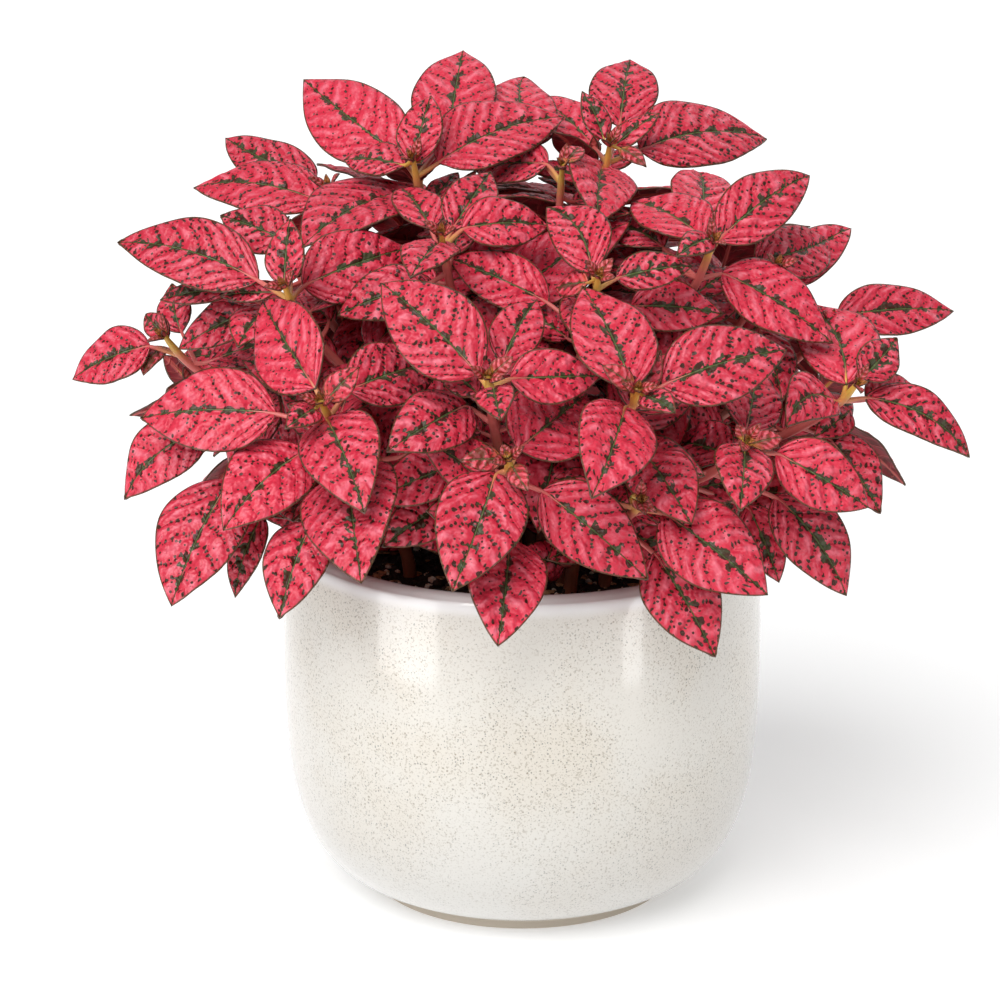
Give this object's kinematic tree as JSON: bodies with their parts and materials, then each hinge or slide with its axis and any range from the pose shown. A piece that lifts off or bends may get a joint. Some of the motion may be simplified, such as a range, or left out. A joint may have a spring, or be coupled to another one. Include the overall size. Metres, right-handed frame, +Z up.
{
  "type": "potted polka dot plant",
  "caption": "Bushy house plant with pink, green-speckled leaves on leafy stems, growing in soil in a round speckled cream glazed pot.",
  "frame": {"origin": "centre of the flat underside of the pot's foot", "axes": "+Z up along the pot's axis, -Y towards the front of the plant as pictured, +X to its right"},
  "size_m": [0.2758, 0.2363, 0.2531],
  "materials": {
    "glaze": "glossy cream glaze with fine brown and grey speckles",
    "soil": "dark peat potting soil with light bits, matte",
    "leaf": "soft satin leaf, pink with dark green speckles and veins"
  },
  "bodies": {
    "root": {"pot": "glaze", "soil": "soil", "leafy_stem_01": "leaf", "leafy_stem_02": "leaf", "leafy_stem_03": "leaf", "leafy_stem_04": "leaf", "leafy_stem_05": "leaf", "leafy_stem_06": "leaf", "leafy_stem_07": "leaf", "leafy_stem_08": "leaf", "leafy_stem_09": "leaf", "leafy_stem_10": "leaf", "leafy_stem_11": "leaf", "leafy_stem_12": "leaf", "leafy_stem_13": "leaf", "leafy_stem_14": "leaf", "leafy_stem_15": "leaf", "leafy_stem_16": "leaf", "leafy_stem_17": "leaf", "leafy_stem_18": "leaf", "leafy_stem_19": "leaf", "leafy_stem_20": "leaf", "leafy_stem_21": "leaf", "leafy_stem_22": "leaf", "leafy_stem_23": "leaf", "leafy_stem_24": "leaf", "leafy_stem_25": "leaf", "leafy_stem_26": "leaf", "leafy_stem_27": "leaf", "leafy_stem_28": "leaf", "leafy_stem_29": "leaf", "leafy_stem_30": "leaf"}
  },
  "joints": []
}
